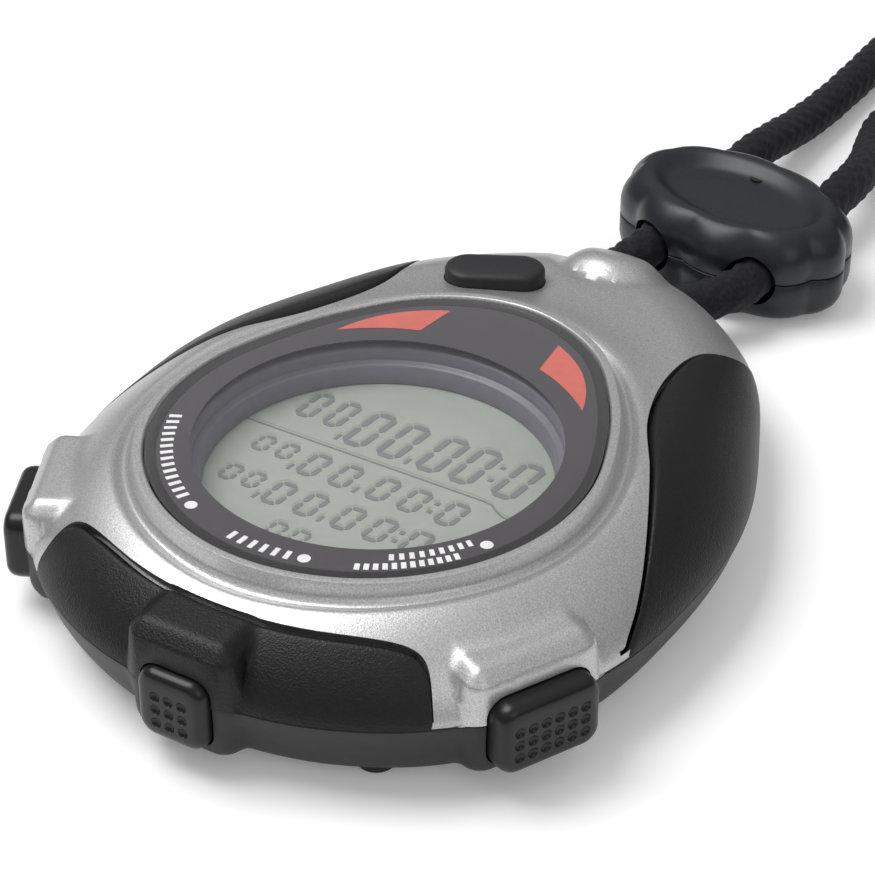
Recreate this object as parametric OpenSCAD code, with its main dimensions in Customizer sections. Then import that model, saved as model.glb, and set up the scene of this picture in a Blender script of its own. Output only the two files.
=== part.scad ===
// Hand-held digital stopwatch with a neck lanyard, lying face up.
// Millimetres. +Z is up, +Y points to the end with three push buttons.
// The origin is on the surface below the middle of the watch; the dial's
// own centre, about which every outline is drawn, is dial_y in front of it.

/* [Case] */
// Distance from the middle of the watch to the centre of the dial
dial_y = 6; // [5.5:0.1:6.5]
// Height of the parting line between the two shells
seam_z = 7.6; // [7.4:0.1:7.8]
// Height of the crest of the front shell
crest_z = 15.2; // [15:0.1:15.4]
// How far the crest drops towards the lanyard end
crest_fall = 1.6; // [1:0.1:2]
// Width of the rounded shoulder between the parting line and the crest
shoulder_w = 9; // [8.5:0.5:9.5]
// Height of the lip around the lens
lip_z = 16.2; // [16.1:0.05:16.3]
// Thickness of the shell walls
wall = 2; // [1.9:0.05:2.1]
// Thickness of the rear cover's floor
floor_t = 2; // [1.9:0.05:2.1]

/* [Buttons] */
// Direction that the two corner buttons face, from the long axis
corner_angle = 64; // [63:1:65]
// How far they sit beside the dial's centre line, towards the button end
corner_shift = 5.7; // [5.5:0.1:5.9]
// Distance from the dial's centre to the face of the middle button
cap_face = 36.2; // [36.1:0.1:36.4]
// Travel of the three side buttons
side_travel = 1.3; // [1:0.1:1.3]
// Travel of the mode button
mode_travel = 0.8; // [0.5:0.1:0.8]
// Diameter of the button stems
stem_d = 2; // [1.8:0.1:2]

/* [Display] */
// Radius of the round window in the dial print
window_r = 17.3; // [17:0.1:17.5]
// Distance from the dial's centre to the window's centre
window_y = 2.6; // [2.4:0.1:2.8]
// Height of the top of the lens
lens_top = 17.3; // [17.2:0.05:17.4]

/* [Battery] */
// Diameter of the coin cell
cell_d = 20; // [20:0.1:20]
// Thickness of the coin cell
cell_t = 3.2; // [3:0.1:3.2]
// Distance from the dial's centre to the battery's centre
cell_y = -14; // [-14.5:0.1:-13.5]

/* [Lanyard] */
// Diameter of the braided cord
cord_d = 4.8; // [4.6:0.1:4.8]
// Length of the oval cord slider
slider_l = 29; // [28:0.5:30]
// Width of the oval cord slider
slider_w = 20; // [19:0.5:20]
// Height of the oval cord slider
slider_h = 10.8; // [10.4:0.2:11]

/* [Hidden] */

$fn = 48;
SLIT = 0.05;        // gap between pieces that only lie against each other
FAR = 60;           // longer than the watch in every direction
STEPS = 48;         // points around each outline of the case

// Radii of the half outlines, every 22.5 degrees from the button end
case_radii = [34.5, 34.7, 34.5, 32.7, 31.7, 33.3, 36.6, 43.7, 48.8];
lens_radii = [24.8, 24.4, 23.5, 22.3, 21, 20.2, 21, 23.2, 24.4];
// Inner edge of a side grip, from the button end to the lanyard end
grip_edge = [[31, 10.8], [30, 6], [27.6, 0], [23.6, -8], [19.3, -15.5],
    [16.8, -23], [16.4, -29.5], [17.6, -35.5]];

stem_z = 5.8;       // height of the button stems
corner_back = 0.7;  // how much nearer the corner buttons sit than the middle one
corner_mid = corner_angle - atan(corner_shift / 30);    // where they are around the dial
cap_z = 6.5;        // height of the middle of the side buttons
cap_h = 7.2;
pocket_s = 30.6;    // bottom of the pockets that the side buttons sink into
cap_l = cap_face - pocket_s - side_travel - 0.3;
inner_s = 28.6;     // inner face of the wall behind those pockets
cavity_steps = [[0, 8.2], [1.2, 9.8], [2.5, 11.3]];     // inset and top of the inner space
cavity_top = 11.3;
grip_steps = [[1.8, 9.3], [2.9, 11], [4.2, 12.3]];      // inset and top under the grips
grip_band = 4.9;    // width of the button end's grip
ledge_z = 14.9;     // ledge that carries the lens
bay_y = -36.6;      // end of the inner space at the lanyard side
board_z = 7;
board_t = 1;
board_r = 26.4;
mode_pos = [7.7, -31.7];
mode_turn = 28;
mode_l = 10.4;
mode_w = 5.2;
mode_foot = board_z + board_t + mode_travel + 0.1;      // its lower end
post_y = -45.8;
bight_r = 5.2;
cord_z = 4.8;       // height of the cord inside the case
exit_y = -48.9;     // where the cord leaves the case
slider_pos = [-2.8, -67];
slider_turn = -13;
bore_gap = 6.5;     // half the distance between the slider's two bores
bore_z = 5.4;
coil_pos = [-24, -153];
coil_r = 24;        // middle of the coil's turns
coil_h = 14.2;
tie_t = 0.3;
screw_spots = [[14.6, 25.8], [-14.6, 25.8], [17.5, -28], [-17.5, -28]];
board_spots = [[13, 21.5], [-13, 21.5], [22.8, -6], [-22.8, -6]];
buzzer_pos = [0, 14];

// Routes of the two cord ends, from the case to the coil
route_start = [[5.2, -48.9, 4.8], [5.1, -51, 4.8], [4.5, -54, 5.1], [3.8, -57, 5.4],
    [3.7, -61, 5.4], [3.7, -67, 5.4], [3.7, -75, 5.4], [3.7, -84, 5.3],
    [3.7, -90, 4.6], [3.7, -96, 3.5], [3.7, -103, 2.7], [3.7, -111, 2.4],
    [3.8, -120, 2.4], [4.1, -130, 2.5], [4, -140, 2.6], [2.1, -149, 2.7]];
route_end = [[-5.2, -48.9, 4.8], [-5.9, -51, 4.8], [-7.7, -53.6, 5.1], [-9, -56, 5.4],
    [-9.3, -60, 5.4], [-9.3, -67, 5.4], [-9.3, -76, 5.4], [-9.2, -85, 5.2],
    [-8.2, -91, 4.2], [-6.4, -97, 3.1], [-4.8, -103, 2.5], [-4.7, -109, 2.4],
    [-7.4, -114.6, 3.2], [-13, -118.6, 5.6], [-20.5, -121.4, 9.4], [-28.6, -125.2, 12],
    [-35.5, -130.6, 12.1]];

// ---- outlines -------------------------------------------------------------

function catmull(a, b, c, d, t) =
    b + 0.5 * t * (c - a + t * (2 * a - 5 * b + 4 * c - d + t * (3 * (b - c) + d - a)));

function mirrored(i, n) = i < 0 ? -i : i > n ? 2 * n - i : i;

// Radius at the angle a, clockwise from +Y, of an outline given by half of it
function spoke(radii, a) =
    let (
        turn = abs(a) % 360,
        b = turn > 180 ? 360 - turn : turn,
        n = len(radii) - 1,
        u = b * n / 180,
        i = min(floor(u), n - 1)
    )
    catmull(radii[mirrored(i - 1, n)], radii[i], radii[i + 1],
        radii[mirrored(i + 2, n)], u - i);

function case_r(a) = spoke(case_radii, a);
function lens_r(a) = spoke(lens_radii, a);
function polar(a, r) = [r * sin(a), r * cos(a)];
function clamp(v, low = 0, high = 1) = min(high, max(low, v));
function smooth(t) = let (c = clamp(t)) c * c * (3 - 2 * c);

angles = [for (i = [0:STEPS - 1]) i * 360 / STEPS];

// 1 within 13 degrees of b, 0 beyond 20 degrees
function near(a, b) = 1 - smooth((abs(a - b) - 13) / 7);

// The wall thickens behind the three side buttons, with a flat face at the corners
function cavity_r(a) =
    let (
        plain = case_r(a) - wall,
        side = min(a, 360 - a),
        flat = (inner_s - corner_back) / cos(corner_angle - side)
    )
    plain + near(side, 0) * (inner_s - plain) + near(side, corner_mid) * (flat - plain);

function crest_at(y) = crest_z - crest_fall * clamp((-y - 5) / 25, 0, 1.6);

// Height of the front shell at the distance d inside the outline
function skin_z(a, d) =
    let (
        r = case_r(a) - d,
        outside = r - lens_r(a),
        low = crest_at(r * cos(a)),
        top = low + (crest_z - low) * pow(1 - clamp(outside / 8), 2),
        t = 1 - clamp(d / shoulder_w)
    )
    seam_z + (top - seam_z) * pow(1 - pow(t, 1.5), 1 / 1.5);

function skin_point(a, d, drop = 0) =
    let (p = polar(a, case_r(a) - d)) [p.x, p.y, skin_z(a, d) - drop];

function lip_point(a, outside, z) =
    let (p = polar(a, lens_r(a) + outside)) [p.x, p.y, z];

// ---- shared shapes --------------------------------------------------------

module at_dial() translate([0, dial_y, 0]) children();

// Closed solid through rings of points, from the lowest ring to the highest
module ring_solid(rings) {
    n = len(rings[0]);
    m = len(rings);
    sides = [for (k = [0:m - 2], i = [0:n - 1])
        let (j = (i + 1) % n)
        each [[k * n + i, k * n + j, (k + 1) * n + j],
            [k * n + i, (k + 1) * n + j, (k + 1) * n + i]]];
    polyhedron(
        points = [for (ring = rings) each ring],
        faces = concat([[for (i = [n - 1:-1:0]) i]], sides,
            [[for (i = [0:n - 1]) (m - 1) * n + i]]));
}

// Upright solid of an outline moved inwards by d
module case_prism(d, z, h)
    translate([0, 0, z])
        linear_extrude(h)
            polygon([for (a = angles) polar(a, case_r(a) - d)]);

module lens_prism(d, z, h)
    translate([0, 0, z])
        linear_extrude(h)
            polygon([for (a = angles) polar(a, lens_r(a) - d)]);

module cavity_prism(d, z, h)
    translate([0, 0, z])
        linear_extrude(h)
            intersection() {
                polygon([for (a = [0:3:357]) polar(a, cavity_r(a) + d)]);
                translate([-FAR, bay_y])
                    square([2 * FAR, FAR * 2]);
            }

module disc(r, z, h, spot = [0, 0])
    translate([spot.x, spot.y, z])
        cylinder(r = r, h = h);

// Turns its children so that +Y points out of the button at angle a
module at_button(a)
    rotate([0, 0, -a])
        translate([-sign(a) * corner_shift, -abs(sign(a)) * corner_back, 0])
            children();

// Bar along +Y with rounded edges, from the distance s0 to s1
module rounded_bar(w, h, r, s0, s1, z) {
    translate([-w / 2 + r, s0, z - h / 2])
        cube([w - 2 * r, s1 - s0, h]);
    translate([-w / 2, s0, z - h / 2 + r])
        cube([w, s1 - s0, h - 2 * r]);
    for (x = [-1, 1], v = [-1, 1])
        translate([x * (w / 2 - r), s0, z + v * (h / 2 - r)])
            rotate([-90, 0, 0])
                cylinder(r = r, h = s1 - s0);
}

// Rod along +Y
module rod(r, s0, s1, z)
    translate([0, s0, z])
        rotate([-90, 0, 0])
            cylinder(r = r, h = s1 - s0);

module pill(l, w, z, h)
    translate([mode_pos.x, mode_pos.y, z])
        rotate([0, 0, mode_turn]) {
            for (x = [-1, 1])
                translate([x * (l - w) / 2, 0, 0])
                    cylinder(d = w, h = h);
            translate([-(l - w) / 2, -w / 2, 0])
                cube([l - w, w, h]);
        }

// Coil spring that stands on z = 0
module coil_spring(r, wire, h, turns) {
    sides = 5;
    per_turn = 12;
    count = turns * per_turn;
    rings = [for (i = [0:count])
        let (a = i * 360 / per_turn, z = wire / 2 + (h - wire) * i / count)
        [for (k = [0:sides - 1])
            let (b = -k * 360 / sides, q = r + wire / 2 * cos(b))
            [q * cos(a), q * sin(a), z + wire / 2 * sin(b)]]];
    ring_solid(rings);
}

// Tube of round section swept along a route
module swept_tube(route, d, sides = 8) {
    last = len(route) - 1;
    rings = [for (i = [0:last])
        let (
            way = route[min(i + 1, last)] - route[max(i - 1, 0)],
            side = cross(way, [0, 0, 1]) / norm(cross(way, [0, 0, 1])),
            up = cross(side, way) / norm(way)
        )
        [for (k = [0:sides - 1])
            let (b = -(k + 0.5) * 360 / sides)
            route[i] + d / 2 * (cos(b) * side + sin(b) * up)]];
    ring_solid(rings);
}

// ---- case -----------------------------------------------------------------

// Outside of the front shell and its grips, with the lip around the lens
module upper_skin() {
    rim = [0, 0.4, 1, 2, 3.2, 4.7, 6.3];
    reach = 6.3;
    ring_solid(concat(
        [for (d = rim) [for (a = angles) skin_point(a, d)]],
        [for (f = [1 / 3, 2 / 3, 1])
            [for (a = angles)
                skin_point(a, reach + f * (case_r(a) - lens_r(a) - 2.4 - reach))]],
        [[for (a = angles) skin_point(a, case_r(a) - lens_r(a) - 1.7, 0.4)]],
        [[for (a = angles) skin_point(a, case_r(a) - lens_r(a) - 1.2, 0.4)]],
        [[for (a = angles) lip_point(a, 0.9, lip_z)]],
        [[for (a = angles) lip_point(a, 0, lip_z)]]));
}

// Outside of the rear cover: a wall that tapers in and rounds under
module lower_skin() {
    profile = [[5.4, 0], [3.9, 0.5], [2.6, 1.5], [1.7, 2.9], [1, 4.4], [0.4, 6.2],
        [0.1, seam_z]];
    ring_solid([for (p = profile)
        [for (a = angles) let (q = polar(a, case_r(a) - p[0])) [q.x, q.y, p[1]]]]);
}

// Dome over the lanyard's exit
module hood()
    intersection() {
        translate([0, -44, -2.1])
            sphere(r = 16);
        translate([-FAR, -FAR, seam_z])
            cube([2 * FAR, FAR, FAR]);
        case_prism(0, 0, FAR);
    }

// Block around a side button, from its wall to its front
module collar(w, h, r, front, z)
    rounded_bar(w, h, r, inner_s + 0.4, front, z);

module upper_half()
    intersection() {
        children();
        translate([-FAR, -FAR, seam_z])
            cube([2 * FAR, 2 * FAR, FAR]);
    }

module lower_half()
    intersection() {
        children();
        translate([-FAR, -FAR, -FAR])
            cube([2 * FAR, 2 * FAR, FAR + seam_z]);
    }

module corner_collar() collar(13.6, 11.2, 2.6, 34.2, 7.2);

module recall_collar() collar(11, 12, 2.6, 34.9, 7.8);

module cap_pocket(w)
    rounded_bar(w + 0.3, cap_h + 0.3, 1.75, pocket_s, FAR, cap_z);

// Plan of the band that a grip covers
module front_grip_plan(grow = 0) {
    half = 38;
    inner = [for (u = [-1:0.1:1.01])
        let (
            a = u * (half + grow * 1.5),
            band = grip_band * pow(1 - pow(abs(clamp(u, -1, 1)), 5), 0.2)
        )
        polar(a, case_r(a) - band - grow)];
    outer = [for (u = [1:-0.25:-1.01]) polar(u * (half + grow * 1.5), FAR)];
    polygon(concat(inner, outer));
}

module side_grip_plan(grow = 0) {
    n = len(grip_edge) - 1;
    edge = [for (i = [0:n - 1], t = [0, 0.34, 0.67])
        catmull(grip_edge[max(i - 1, 0)], grip_edge[i], grip_edge[i + 1],
            grip_edge[min(i + 2, n)], t)];
    translate([-grow, 0])
        polygon(concat(edge, [grip_edge[n], [21.5, -39 - grow], [FAR, -39 - grow],
            [FAR, 13.6 + grow], [33, 13.6 + grow]]));
}

// Steps of the front shell that carry a grip from behind
module grip_support(slit = 0)
    for (step = grip_steps)
        case_prism(step[0] - slit, 0, step[1] + slit);

module grip_space(z0, slit = 0)
    difference() {
        translate([0, 0, z0])
            linear_extrude(FAR)
                children();
        grip_support(slit);
    }

module grip_body()
    intersection() {
        upper_skin();
        grip_space(seam_z + SLIT, SLIT)
            children();
    }

module front_shell_body()
    difference() {
        union() {
            upper_skin();
            hood();
            for (a = [-corner_angle, corner_angle])
                at_button(a)
                    upper_half()
                        corner_collar();
        }
        for (step = cavity_steps)
            cavity_prism(-step[0], 0, step[1]);
        grip_space(0)
            front_grip_plan(SLIT);
        for (side = [0, 1])
            mirror([side, 0, 0])
                grip_space(0)
                    side_grip_plan(SLIT);
    }

module front_shell()
    color("silver")
        at_dial()
            difference() {
                union() {
                    front_shell_body();
                    intersection() {
                        for (p = screw_spots)
                            disc(2.4, seam_z + SLIT, cavity_top + 0.5 - seam_z, p);
                        grip_support();
                    }
                }
                disc(19.5, 0, FAR, [0, window_y]);
                lens_prism(-SLIT, ledge_z, FAR);
                for (a = [-corner_angle, corner_angle])
                    at_button(a)
                        cap_pocket(10.4);
                cap_pocket(7.2);
                pill(mode_l + 0.2, mode_w + 0.2, 0, FAR);
                disc(2.32, 0, 9.05, [0, post_y]);
                for (p = screw_spots)
                    disc(0.92, 0, 10.3, p);
                for (p = board_spots)
                    disc(0.72, 0, 13, p);
            }

module rear_cover()
    color([0.2, 0.2, 0.21])
        at_dial()
            difference() {
                union() {
                    difference() {
                        union() {
                            lower_skin();
                            for (a = [-corner_angle, corner_angle])
                                at_button(a)
                                    lower_half()
                                        corner_collar();
                            lower_half()
                                recall_collar();
                        }
                        cavity_prism(0, floor_t, FAR);
                    }
                    for (p = screw_spots)
                        disc(2.6, floor_t - 0.5, seam_z - floor_t + 0.5, p);
                }
                for (a = [-corner_angle, corner_angle])
                    at_button(a)
                        cap_pocket(10.4);
                cap_pocket(7.2);
                for (a = [-corner_angle, 0, corner_angle])
                    at_button(a) {
                        rod(stem_d / 2 + 0.05, 20, pocket_s + 1, stem_z);
                        rod(1.64, 29.75, 30.4, stem_z);
                    }
                seal_groove();
                lanyard_chamber();
                battery_opening();
                disc(2.32, 1.15, FAR, [0, post_y]);
                for (p = screw_spots) {
                    disc(1.95, -1, 2.5, p);
                    disc(1.05, -1, FAR, p);
                }
            }

// Groove for the case seal in the top of the rear cover's wall
module seal_ring(inner, outer, z, h)
    translate([0, 0, z])
        linear_extrude(h)
            difference() {
                seal_plan(outer);
                seal_plan(inner);
            }

module seal_plan(d)
    intersection() {
        polygon([for (a = [0:3:357]) polar(a, cavity_r(a) + d)]);
        translate([-FAR, bay_y - d])
            square([2 * FAR, 2 * FAR]);
    }

module seal_groove() seal_ring(0.3, 0.85, seam_z - 0.7, FAR);

module case_seal()
    color([0.1, 0.1, 0.1])
        at_dial()
            seal_ring(0.35, 0.8, seam_z - 0.65, 0.6);

module lanyard_chamber() {
    half = bight_r + cord_d / 2 + 0.4;
    translate([-half, -FAR, 2.2])
        cube([2 * half, FAR + post_y, FAR]);
    disc(half, 2.2, FAR, [0, post_y]);
}

module battery_opening() {
    disc(11, -1, FAR, [0, cell_y]);
    disc(12.6, -1, 2.5, [0, cell_y]);
    for (a = [-45, 135])
        translate([0, cell_y, -1])
            rotate([0, 0, a])
                translate([0, -4.2, 0])
                    cube([12.4, 8.4, FAR]);
}

module case_screws()
    color([0.55, 0.56, 0.58])
        at_dial()
            for (p = screw_spots)
                difference() {
                    union() {
                        disc(1.8, 0.25, 1.2, p);
                        disc(0.9, 0.3, 9.6, p);
                    }
                    translate([p.x - 0.25, p.y - 1.2, 0])
                        cube([0.5, 2.4, 0.8]);
                    translate([p.x - 1.2, p.y - 0.25, 0])
                        cube([2.4, 0.5, 0.8]);
                }

// ---- grips ----------------------------------------------------------------

module grip_button_end()
    color([0.13, 0.13, 0.14])
        at_dial()
            difference() {
                union() {
                    grip_body()
                        front_grip_plan();
                    difference() {
                        intersection() {
                            recall_collar();
                            translate([-FAR, case_r(0) - grip_band + 0.2, seam_z + SLIT])
                                cube([2 * FAR, FAR, FAR]);
                        }
                        grip_support(SLIT);
                    }
                }
                cap_pocket(7.2);
            }

module side_grip()
    color([0.13, 0.13, 0.14])
        at_dial()
            grip_body()
                side_grip_plan();

module grip_right() side_grip();

module grip_left() mirror([1, 0, 0]) side_grip();

// ---- lens and display -----------------------------------------------------

module lens()
    color([0.85, 0.9, 0.9, 0.35])
        at_dial() {
            lens_prism(0.1, ledge_z + 0.5, lens_top - ledge_z - 1);
            lens_prism(0.7, lens_top - 0.5, 0.5);
        }

module dial_mask()
    color([0.25, 0.23, 0.25])
        at_dial()
            difference() {
                lens_prism(0.15, ledge_z + 0.27, 0.2);
                disc(window_r, 0, FAR, [0, window_y]);
            }

module lens_gasket()
    color([0.1, 0.1, 0.1])
        at_dial()
            difference() {
                lens_prism(0.2, ledge_z, 0.25);
                disc(19.7, 0, FAR, [0, window_y]);
            }

module display_bezel()
    color([0.45, 0.44, 0.5])
        at_dial()
            difference() {
                disc(19.2, 11.25, 3.85, [0, window_y]);
                disc(16.8, 0, FAR, [0, window_y]);
                disc(17.8, 13.2, FAR, [0, window_y]);
            }

// Plate with its four corners cut off
module cut_plate(x, y, cut, z, h)
    translate([0, window_y, z])
        linear_extrude(h)
            polygon([for (s = [[1, 1], [1, -1], [-1, -1], [-1, 1]], k = [0, 1])
                let (first = (s.x * s.y > 0) == (k == 0))
                first ? [s.x * (x - cut), s.y * y] : [s.x * x, s.y * (y - cut)]]);

module lcd_glass()
    color([0.72, 0.76, 0.71])
        at_dial()
            cut_plate(19, 18, 4, 9.85, 1.35);

module lcd_reflector()
    color([0.8, 0.82, 0.78])
        at_dial()
            translate([-16.8, window_y - 13.3, 9.3])
                cube([33.6, 26.6, 0.45]);

module zebra_strips()
    color([0.85, 0.6, 0.55])
        at_dial()
            for (y = [-16.6, 14.6])
                translate([-16.8, window_y + y, board_z + board_t])
                    cube([33.6, 2, 1.8]);

module module_frame()
    color([0.9, 0.9, 0.88])
        at_dial()
            difference() {
                intersection() {
                    disc(26, board_z + board_t + 0.02, 3.16);
                    cavity_prism(-cavity_steps[2][0] - 0.1, 0, FAR);
                }
                cut_plate(19.2, 18.2, 4, 9.82, FAR);
                translate([-17, window_y - 13.5, 0])
                    cube([34, 27, FAR]);
                for (y = [-16.7, 14.5])
                    translate([-17, window_y + y, 0])
                        cube([34, 2.2, FAR]);
                for (p = board_spots)
                    disc(0.9, 0, FAR, p);
            }

// ---- electronics ----------------------------------------------------------

module circuit_board()
    color([0.1, 0.35, 0.2])
        at_dial()
            difference() {
                union() {
                    disc(board_r, board_z, board_t);
                    translate([2.6, -36, board_z])
                        cube([10.2, 14, board_t]);
                }
                for (p = board_spots)
                    disc(0.9, 0, FAR, p);
            }

module chip_blob()
    color([0.06, 0.06, 0.06])
        at_dial()
            translate([15, 2, board_z - 1]) {
                cylinder(r1 = 2.6, r2 = 3.8, h = 0.6);
                translate([0, 0, 0.6])
                    cylinder(r1 = 3.8, r2 = 4.2, h = 0.4);
            }

module quartz_crystal()
    color([0.75, 0.75, 0.78])
        at_dial()
            translate([-15, 0, board_z - 1.05])
                rotate([-90, 0, 0])
                    cylinder(r = 1, h = 6);

module board_components()
    color([0.65, 0.55, 0.4])
        at_dial()
            for (p = [[-20, -4], [-20, 2], [-20, 8], [20, -8], [18, -12], [-17, -12],
                [14, 10], [17, 10]])
                translate([p.x - 0.6, p.y - 1, board_z - 0.8])
                    cube([1.2, 2, 0.8]);

module board_screws()
    color([0.55, 0.56, 0.58])
        at_dial()
            for (p = board_spots)
                difference() {
                    union() {
                        disc(1.4, board_z - 0.9, 0.88, p);
                        disc(0.7, board_z - 0.5, 6.3, p);
                    }
                    translate([p.x - 0.9, p.y - 0.2, 0])
                        cube([1.8, 0.4, board_z - 0.5]);
                }

module side_switches()
    color([0.15, 0.15, 0.16])
        at_dial()
            for (a = [-corner_angle, 0, corner_angle])
                at_button(a) {
                    translate([-2, 22.8, board_z - 2.6])
                        cube([4, 2.4, 2.58]);
                    rod(0.8, 25.1, 25.5, stem_z);
                }

module piezo_buzzer()
    color([0.8, 0.65, 0.3])
        at_dial() {
            disc(9, floor_t, 0.2, buzzer_pos);
            disc(6.5, floor_t + 0.2, 0.15, buzzer_pos);
        }

module buzzer_springs()
    color([0.75, 0.75, 0.7])
        at_dial()
            for (x = [-4, 4])
                translate([buzzer_pos.x + x, buzzer_pos.y, floor_t + 0.37])
                    coil_spring(0.8, 0.3, board_z - floor_t - 0.39, 5);

module coin_cell()
    color([0.75, 0.76, 0.78])
        at_dial() {
            disc(cell_d / 2, floor_t + 0.85, cell_t - 0.4, [0, cell_y]);
            disc(cell_d / 2 - 1.4, floor_t + 0.9, cell_t - 0.05, [0, cell_y]);
        }

module contact_plus()
    color([0.8, 0.7, 0.4])
        at_dial() {
            translate([cell_d / 2 + 0.05, cell_y - 3, floor_t + 1.4])
                cube([0.25, 6, board_z - floor_t - 1.42]);
            translate([cell_d / 2 + 0.05, cell_y - 3, board_z - 0.27])
                cube([2.4, 6, 0.25]);
        }

module contact_minus()
    color([0.8, 0.7, 0.4])
        at_dial() {
            translate([-6, cell_y - 1.5, board_z - 0.22])
                cube([12, 3, 0.2]);
            for (x = [-5.8, 3.8])
                translate([x, cell_y - 1.5, floor_t + 4.1])
                    cube([2, 3, board_z - floor_t - 4.25]);
        }

// ---- battery cap ----------------------------------------------------------

module battery_cap()
    color([0.17, 0.17, 0.18])
        translate([0, dial_y + cell_y, 0])
            difference() {
                union() {
                    disc(12.4, 0.25, 0.7);
                    disc(10.9, 0.3, 2.45);
                    intersection() {
                        disc(12.2, floor_t + 0.1, 0.65);
                        translate([-20, -3.8, 0])
                            cube([40, 7.6, 5]);
                    }
                }
                translate([-8, -0.9, -1])
                    cube([16, 1.8, 1.9]);
            }

module battery_cap_seal()
    color([0.08, 0.08, 0.08])
        translate([0, dial_y + cell_y, 1.22])
            rotate_extrude()
                translate([11.75, 0])
                    circle(r = 0.24, $fn = 16);

// ---- side buttons ---------------------------------------------------------

module side_cap(a, w)
    color([0.12, 0.12, 0.13])
        at_dial()
            at_button(a)
                difference() {
                    rounded_bar(w, cap_h, 1.6, cap_face - cap_l, cap_face, cap_z);
                    rod(2.5, 0, cap_face - cap_l + 2.6, stem_z);
                    rod(stem_d / 2, 0, cap_face - 1.2, stem_z);
                }

module side_stem(a)
    color([0.7, 0.71, 0.72])
        at_dial()
            at_button(a)
                difference() {
                    rod(stem_d / 2, 27, cap_face - 1.25, stem_z);
                    difference() {
                        rod(stem_d, 28.1, 28.5, stem_z);
                        rod(stem_d / 2 - 0.25, 28, 28.6, stem_z);
                    }
                }

// Clip that keeps the stem in its wall, open on one side
module side_clip(a)
    color([0.6, 0.61, 0.63])
        at_dial()
            at_button(a)
                difference() {
                    rod(1.8, 28.14, 28.46, stem_z);
                    rod(stem_d / 2 - 0.23, 28, 29, stem_z);
                    translate([-0.5, 28, stem_z - 3])
                        cube([1, 1, 3]);
                }

module side_spring(a)
    color([0.75, 0.76, 0.78])
        at_dial()
            at_button(a)
                translate([0, pocket_s + SLIT, stem_z])
                    rotate([-90, 0, 0])
                        coil_spring(1.9, 0.4, 4.1, 5);

module stem_seals()
    color([0.08, 0.08, 0.08])
        at_dial()
            for (a = [-corner_angle, 0, corner_angle])
                at_button(a)
                    translate([0, 30.08, stem_z])
                        rotate([-90, 0, 0])
                            rotate_extrude()
                                translate([1.31, 0])
                                    circle(r = 0.28, $fn = 16);

module cap_start() side_cap(corner_angle, 10.4);
module stem_start() side_stem(corner_angle);
module clip_start() side_clip(corner_angle);
module spring_start() side_spring(corner_angle);
module cap_recall() side_cap(0, 7.2);
module stem_recall() side_stem(0);
module clip_recall() side_clip(0);
module spring_recall() side_spring(0);
module cap_lap() side_cap(-corner_angle, 10.4);
module stem_lap() side_stem(-corner_angle);
module clip_lap() side_clip(-corner_angle);
module spring_lap() side_spring(-corner_angle);

// ---- mode button ----------------------------------------------------------

module mode_button()
    color([0.12, 0.12, 0.13])
        at_dial() {
            pill(mode_l, mode_w, cavity_top - 1, 4.7);
            pill(mode_l + 1, mode_w + 1, cavity_top - 1, 0.9);
            disc(1.2, mode_foot, cavity_top - 0.9 - mode_foot, mode_pos);
        }

module mode_spring()
    color([0.75, 0.76, 0.78])
        at_dial()
            translate([mode_pos.x, mode_pos.y, board_z + board_t + 0.02])
                coil_spring(1.9, 0.35, 2.2, 3);

// ---- lanyard --------------------------------------------------------------

module lanyard_post()
    color([0.6, 0.61, 0.63])
        at_dial()
            disc(2.3, 1.2, 7.8, [0, post_y]);

module cord_bight()
    color([0.08, 0.08, 0.1])
        at_dial()
            translate([0, post_y, cord_z]) {
                rotate_extrude(angle = 180)
                    translate([bight_r, 0])
                        circle(d = cord_d - 0.2);
                for (x = [-bight_r, bight_r])
                    translate([x, 0, 0])
                        rotate([90, 0, 0])
                            cylinder(d = cord_d - 0.2, h = post_y - exit_y - 0.02);
            }

module lanyard_cord()
    color([0.08, 0.08, 0.1])
        at_dial() {
            swept_tube(route_start, cord_d);
            swept_tube(route_end, cord_d);
        }

// Space of the coiled cord: two turns on two turns, with one nested on top
module coil_space(grow = 0)
    translate([coil_pos.x, coil_pos.y, tie_t - grow])
        rotate_extrude()
            translate([coil_r - cord_d - grow, 0])
                square([2 * cord_d + 2 * grow, coil_h + 2 * grow]);

module lanyard_coil()
    color([0.08, 0.08, 0.1])
        at_dial()
            coil_space();

module cord_tie()
    color([0.2, 0.2, 0.22])
        at_dial()
            difference() {
                translate([coil_pos.x - 3, coil_pos.y - coil_r - cord_d - 1.4, 0])
                    cube([6, 2 * cord_d + 2.8, coil_h + 1]);
                coil_space(SLIT);
            }

module at_slider()
    at_dial()
        translate([slider_pos.x, slider_pos.y, 0])
            children();

// One layer of the oval slider, drawn inwards by d
module slider_layer(d, z, h)
    translate([0, 0, z])
        rotate([0, 0, slider_turn])
            linear_extrude(h)
                polygon([for (a = [0:7.5:352.5])
                    let (r = 1 - 0.018 * cos(8 * a))
                    [(slider_l / 2 - d) * r * cos(a), (slider_w / 2 - d) * r * sin(a)]]);

module slider_bores()
    for (x = [-bore_gap, bore_gap])
        translate([x, 20, bore_z])
            rotate([90, 0, 0])
                cylinder(d = cord_d + 1, h = 40);

module pin_holes(r)
    for (y = [-5.5, 5.5])
        disc(r, 1.5, 8.2, [0, y]);

module slider_upper()
    color([0.14, 0.15, 0.18])
        at_slider()
            difference() {
                union() {
                    slider_layer(0, bore_z + SLIT, 3.2);
                    slider_layer(1.1, bore_z + 3, slider_h - bore_z - 3);
                }
                slider_layer(4.6, slider_h - 1, 3);
                slider_bores();
                pin_holes(1);
            }

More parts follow.
